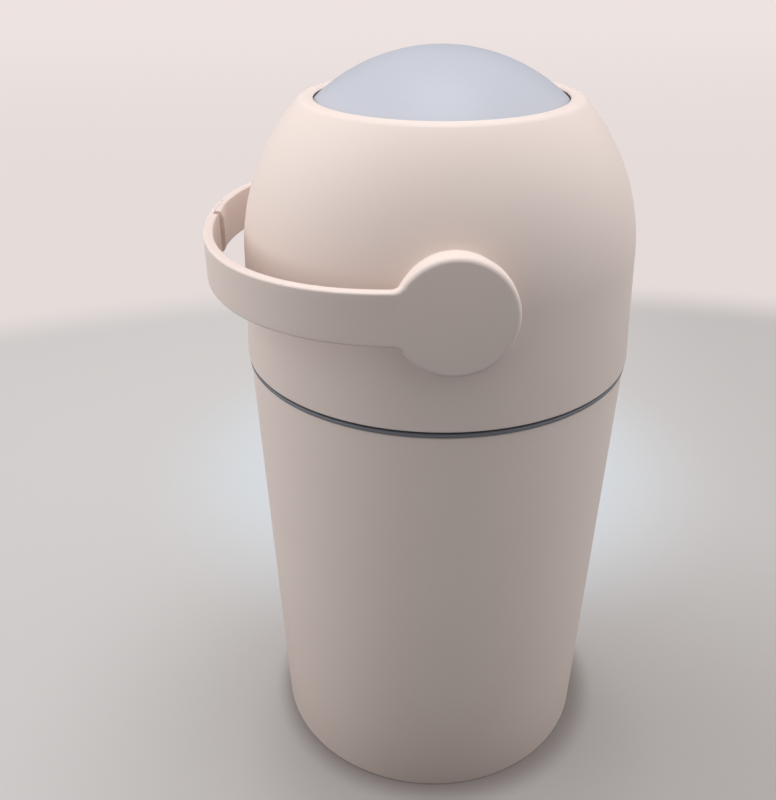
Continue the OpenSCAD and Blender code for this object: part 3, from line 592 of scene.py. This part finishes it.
def bailStrap(mesh, side):
    # one half of the strap, with the step of the lap joint near its end
    front = side < 0
    lapSign = 1 if front else -1
    lapFull = (bail["lapStart"] if front else bail["lapEnd"] + bail["endGap"]) * lapSign
    lapLast = (bail["lapEnd"] if front else bail["lapStart"] + bail["endGap"]) * lapSign
    dropped = "inner" if front else "outer"
    middle = bail["lapMiddle"] + (-bail["lapGap"] if front else bail["lapGap"])
    fullRun = runAt(lapFull)
    lastRun = runAt(lapLast)
    roundness = bail["lapRound"] if front else bail["squareEnd"]
    half = sectionPoints(middle)
    section = [(e, d, layer, 1) for e, d, layer in half] + [(e, d, layer, -1) for e, d, layer in half[::-1]]
    filletReaches = [tangentX + (filletX - tangentX) * i / 10 for i in range(11)]
    runs = [runOfReach(reach) for reach in [*bail["root"], bail["straight"], *filletReaches]]
    curveStart = runs[-1]
    curveSteps, lapSteps = bail["curveSteps"], bail["lapSteps"]
    curveLength = fullRun - bail["lapClear"] - curveStart
    runs += [curveStart + curveLength * i / curveSteps for i in range(1, curveSteps + 1)]
    stations = [(run, "full") for run in runs] + [(fullRun, "edge"), (fullRun, "step")]
    stations += [(fullRun + (lastRun - fullRun) * i / lapSteps, "thin") for i in range(1, lapSteps + 1)]
    loops = []
    for run, kind in stations:
        loop = []
        # the rounding of the outer edge grows to the hub's along the fillet
        growth = max(0, min(1, (filletX - planPoint(run, 0)[0]) / (filletX - tangentX)))
        growth = 1 + growth * (hub["edge"] / bail["outerEdge"] - 1)
        for e, d, layer, sign in section:
            if layer == "outer" and e is not None and max(e, d) <= bail["outerEdge"]:
                e, d = e * growth, d * growth
            height, slope = halfWidth(run)
            lean = math.sqrt(1 + slope * slope)
            along = run
            if kind in ("edge", "step") and layer == dropped and e is not None and e < roundness:
                along -= roundness - math.sqrt(roundness ** 2 - (roundness - e) ** 2)
            if kind in ("step", "thin") and layer == dropped:
                d = middle
            h = 0 if e is None else sign * (height - e / lean)
            along += 0 if e is None else e * slope / lean
            if not front and layer == "inner" and d > middle:
                # the tongue stands proud at its end, fades out along the overlap and is rounded at its edges
                crown = 1 if e is None else math.sqrt(min(1, e / bail["lapRound"]))
                fade = bail["proudFade"] * (lastRun - run) / (lastRun - fullRun)
                d += bail["proud"] * crown * max(0, 1 - fade)
            x, y = planPoint(along, d + bail["sink"] if d < middle else d)
            loop.append(mesh.verts.new((-x, side * y, axisZ + h)))
        loops.append(loop)
    for loop, nextLoop in zip(loops, loops[1:]):
        for i in range(len(loop)):
            j = (i + 1) % len(loop)
            mesh.faces.new((loop[i], loop[j], nextLoop[j], nextLoop[i]))
    mesh.faces.new(loops[0])
    mesh.faces.new(loops[-1])


def hubDisc(mesh, side):
    # the hub with its hollow back, journal, drive end and stop peg
    back = hub["face"] - hub["thick"]
    rimBack = back + hub["rimClear"]
    cavity = hub["radius"] - hub["wall"]
    inside = hub["face"] - hub["wall"]
    spin(mesh, roundCorners([
        (0, hub["face"]), (hub["radius"], hub["face"], hub["edge"]), (hub["radius"], rimBack, hub["backEdge"]),
        (cavity, rimBack, hub["cavityEdge"]), (cavity, inside, hub["cavityRound"]),
        (hub["cavityIn"], inside, hub["cavityRound"]), (hub["cavityIn"], back, hub["journalEdge"]),
        (hub["journal"], back), (hub["journal"], pole, hub["journalEdge"]), (0, pole)]),
        onAxle(side), steps=240, closed=False)
    hexagon = arcPoints((0, 0), hub["hex"], 0, 300, steps=5)
    prism(mesh, hexagon, socket["end"] + hub["hexClear"], pole + hub["sink"], onAxle(side))
    turn = math.radians(-90 if side < 0 else 90)
    peg = Matrix.Translation((hub["pegCircle"] * math.cos(turn), hub["pegCircle"] * math.sin(turn), 0))
    pegTop = inside + hub["sink"]
    pegEnd = back - hub["pegLength"]
    spin(mesh, [(0, pegTop), (hub["pegRadius"], pegTop), (hub["pegRadius"], pegEnd), (0, pegEnd)],
         onAxle(side) @ peg, steps=24, closed=False)


for name, node, side in (("bailFront", "bail_front", -1), ("bailBack", "bail_back", 1)):
    mesh = bmesh.new()
    bailStrap(mesh, side)
    hubDisc(mesh, side)
    makePiece(name, mesh, "ball", [node], "shell_plastic", sharpAngle=30)
print("bail made")

# The studio is a paper floor that fades into the backdrop's tone. The camera sees the paper's tones, painted
# shade and a painted glow included, and the bin is lit by the bounce tones. Distances are in metres.
studio = {"backdropLow": "e5dbd9", "backdropHigh": "ede3e0", "riseFrom": 1.2, "riseTo": 4.5,
          "wallFrom": -0.25, "wallTo": 0.05, "paper": "d3cfcd", "paperPaintedShade": "c9c4c2", "rightFrom": 0.1,
          "rightTo": 0.5, "fibreSize": 1.2, "fibreStrength": 0.1, "fibreDepth": 0.05, "bounceFar": "8c9094",
          "bounceNear": "524c49", "bounceFrom": 0.13, "bounceTo": 0.3, "selfLight": 0.35, "selfTone": 0.94,
          "fadeCentre": (0.05, -0.9, 0), "fadeFrom": 1.66, "fadeTo": 1.8, "size": 8}
# painted light on the paper, each patch laid over the ones before: (tone, centre, full within, gone beyond).
# The first is a painted soft shadow to the front right, the second a painted bluish glow behind the bin, and
# the last two a painted contact shadow round the foot, darkest right next to it.
paintedShadeAndGlow = [("b6b0ad", (0.13, -0.26, 0), 0.1, 0.55), ("d6dade", (0.02, 0.33, 0), 0.16, 0.34),
           ("aea8a6", (0.015, -0.075, 0), 0.08, 0.17), ("8c8481", (0.004, -0.005, 0), 0.11, 0.133)]


def spread(tree, coords, centre, start, end):
    # 0 within one distance of a point on the floor, 1 beyond another
    distance = addNode(tree, "ShaderNodeVectorMath", {0: coords, 1: centre}, operation="DISTANCE")
    eased = addNode(tree, "ShaderNodeMapRange", {"Value": distance.outputs["Value"], "From Min": start,
                                                 "From Max": end}, interpolation_type="SMOOTHSTEP")
    return eased.outputs["Result"]


def studioFloor():
    # matt paper that takes the bin's shadow and carries painted shade and painted shadows near the bin, and
    # fades to the backdrop's own tone further out
    material, tree = newMaterial("paperFloor")
    coords = addNode(tree, "ShaderNodeTexCoord").outputs["Object"]
    sides = addNode(tree, "ShaderNodeSeparateXYZ", {0: coords}).outputs
    # painted shade: the paper's tone darkens towards the right, where the bin's shadow falls
    paintedShadeRight = addNode(tree, "ShaderNodeMapRange", {"Value": sides["X"], "From Min": studio["rightFrom"],
                                                 "From Max": studio["rightTo"]},
                    interpolation_type="SMOOTHSTEP")
    tone = addNode(tree, "ShaderNodeMix", {"Factor": paintedShadeRight.outputs["Result"], "A": linear(studio["paper"]),
                                           "B": linear(studio["paperPaintedShade"])}, data_type="RGBA")
    # lays the painted shadows and the painted glow over the paper's tone, one by one
    for paintedTone, centre, full, gone in paintedShadeAndGlow:
        away = spread(tree, coords, centre, full, gone)
        tone = addNode(tree, "ShaderNodeMix", {"Factor": away, "A": linear(paintedTone), "B": tone.outputs["Result"]},
                       data_type="RGBA")
    seenTone = tone.outputs["Result"]
    away = spread(tree, coords, (0, 0, 0), studio["bounceFrom"], studio["bounceTo"])
    bounce = addNode(tree, "ShaderNodeMix", {"Factor": away, "A": linear(studio["bounceNear"]),
                                             "B": linear(studio["bounceFar"])}, data_type="RGBA")
    rays = addNode(tree, "ShaderNodeLightPath").outputs
    paperTone = addNode(tree, "ShaderNodeMix", {"Factor": rays["Is Camera Ray"],
                                                "A": bounce.outputs["Result"], "B": seenTone}, data_type="RGBA")
    fibres = addNode(tree, "ShaderNodeTexNoise", {"Vector": coords, "Scale": 1 / (studio["fibreSize"] * mm),
                                                  "Detail": 2.0})
    fibreHeight = fibres.outputs["Fac"]
    bump = addNode(tree, "ShaderNodeBump", {"Height": fibreHeight, "Strength": studio["fibreStrength"],
                                            "Distance": studio["fibreDepth"] * mm})
    paper = addNode(tree, "ShaderNodeBsdfDiffuse", {"Color": paperTone.outputs["Result"],
                                                    "Normal": bump.outputs["Normal"]})
    # a share of even light keeps the bin's own shadow on the paper soft
    even = addNode(tree, "ShaderNodeEmission", {"Color": seenTone, "Strength": studio["selfTone"]})
    lift = addNode(tree, "ShaderNodeMath", {0: rays["Is Camera Ray"], 1: studio["selfLight"]},
                   operation="MULTIPLY")
    lit = addNode(tree, "ShaderNodeMixShader", {0: lift.outputs[0], 1: paper.outputs[0], 2: even.outputs[0]})
    rise = addNode(tree, "ShaderNodeMapRange", {"Value": sides["Y"], "From Min": studio["riseFrom"],
                                                "From Max": studio["riseTo"]}, interpolation_type="SMOOTHSTEP")
    wall = addNode(tree, "ShaderNodeMix", {"Factor": rise.outputs["Result"], "A": linear(studio["backdropLow"]),
                                           "B": linear(studio["backdropHigh"])}, data_type="RGBA")
    backdrop = addNode(tree, "ShaderNodeEmission", {"Color": wall.outputs["Result"], "Strength": 1.0})
    fade = spread(tree, coords, studio["fadeCentre"], studio["fadeFrom"], studio["fadeTo"])
    seen = addNode(tree, "ShaderNodeMath", {0: rays["Is Camera Ray"], 1: rays["Is Glossy Ray"]},
                   operation="MAXIMUM")
    seen = addNode(tree, "ShaderNodeMath", {0: seen.outputs[0], 1: rays["Is Transmission Ray"]},
                   operation="MAXIMUM")
    part = addNode(tree, "ShaderNodeMath", {0: seen.outputs[0], 1: fade}, operation="MULTIPLY")
    mix = addNode(tree, "ShaderNodeMixShader", {0: part.outputs[0], 1: lit.outputs[0], 2: backdrop.outputs[0]})
    addNode(tree, "ShaderNodeOutputMaterial", {"Surface": mix.outputs[0]})
    return material


mesh = bmesh.new()
bmesh.ops.create_circle(mesh, cap_ends=True, segments=96, radius=studio["size"])
data = bpy.data.meshes.new("studioFloor")
mesh.to_mesh(data)
mesh.free()
data.materials.append(studioFloor())
floor = bpy.data.objects.new("studioFloor", data)
bpy.context.collection.objects.link(floor)

# the room's light, as soft lobes round the bin: (direction, sharpness, strength)
lobes = [((-1, 0, 0.2), 3, 2.14), ((1, 0, 0.2), 3, 1.2), ((0.7, 0.7, 0.3), 5, 0.2),
         ((-0.7, 0.7, 0.3), 5, 0.2), ((0.6, 0, 0.8), 5, 1.22)]
world = bpy.data.worlds.new("studioRoom")
bpy.context.scene.world = world
world.use_nodes = True
tree = world.node_tree
tree.nodes.clear()
direction = addNode(tree, "ShaderNodeTexCoord").outputs["Generated"]
total = None
for towards, sharpness, strength in lobes:
    unit = Vector(towards).normalized()
    dot = addNode(tree, "ShaderNodeVectorMath", {0: direction, 1: unit}, operation="DOT_PRODUCT")
    clamped = addNode(tree, "ShaderNodeMath", {0: dot.outputs["Value"], 1: 0.0}, operation="MAXIMUM")
    shaped = addNode(tree, "ShaderNodeMath", {0: clamped.outputs[0], 1: float(sharpness)}, operation="POWER")
    scaled = addNode(tree, "ShaderNodeMath", {0: shaped.outputs[0], 1: strength}, operation="MULTIPLY")
    if total is None:
        total = scaled.outputs[0]
    else:
        total = addNode(tree, "ShaderNodeMath", {0: total, 1: scaled.outputs[0]}, operation="ADD").outputs[0]
room = addNode(tree, "ShaderNodeBackground", {"Color": linear("ffffff"), "Strength": total})
height = addNode(tree, "ShaderNodeSeparateXYZ", {0: direction})
rise = addNode(tree, "ShaderNodeMapRange", {"Value": height.outputs["Z"], "From Min": studio["wallFrom"],
                                            "From Max": studio["wallTo"]}, interpolation_type="SMOOTHSTEP")
wallTone = addNode(tree, "ShaderNodeMix", {"Factor": rise.outputs["Result"], "A": linear(studio["backdropLow"]),
                                           "B": linear(studio["backdropHigh"])}, data_type="RGBA")
backdrop = addNode(tree, "ShaderNodeBackground", {"Color": wallTone.outputs["Result"], "Strength": 1.0})
rays = addNode(tree, "ShaderNodeLightPath").outputs
seen = addNode(tree, "ShaderNodeMath", {0: rays["Is Camera Ray"], 1: rays["Is Transmission Ray"]},
               operation="MAXIMUM")
mix = addNode(tree, "ShaderNodeMixShader", {0: seen.outputs[0], 1: room.outputs[0], 2: backdrop.outputs[0]})
addNode(tree, "ShaderNodeOutputWorld", {"Surface": mix.outputs[0]})

# Two soft lamps. Both look at the lid's side, 0.3 m over the floor.
lampTarget = Vector((0, 0, 0.3))
lamps = {"overhead": {"place": (0, 0.02, 1.62), "size": 0.85, "power": 7.6, "colour": "f5f9ff"},
         "overLeft": {"place": (-1, -0.1, 1.5), "size": 0.8, "power": 2.7, "colour": "ffffff"}}
for name, lamp in lamps.items():
    light = bpy.data.lights.new(name, "AREA")
    light.shape = "DISK"
    light.size = lamp["size"]
    light.energy = lamp["power"]
    light.color = linear(lamp["colour"])[:3]
    holder = bpy.data.objects.new(name, light)
    holder.location = lamp["place"]
    holder.rotation_euler = (lampTarget - holder.location).to_track_quat("-Z", "Y").to_euler()
    bpy.context.collection.objects.link(holder)

view = {"place": (-0.04333, -0.55746, 0.56561), "target": (-0.03332, -0.03191, 0.2763), "roll": -0.368,
        "lens": 40.652, "sensor": 36, "clip": 0.05}
camera = bpy.data.objects.new("photoView", bpy.data.cameras.new("photoView"))
camera.data.lens = view["lens"]
camera.data.sensor_width = view["sensor"]
camera.data.clip_start = view["clip"]
camera.location = view["place"]
aim = (Vector(view["target"]) - camera.location).to_track_quat("-Z", "Y")
camera.rotation_mode = "QUATERNION"
camera.rotation_quaternion = aim @ Quaternion((0, 0, 1), math.radians(view["roll"]))
bpy.context.collection.objects.link(camera)
bpy.context.scene.camera = camera
bpy.context.scene.view_settings.view_transform = "Standard"
print("studio set")
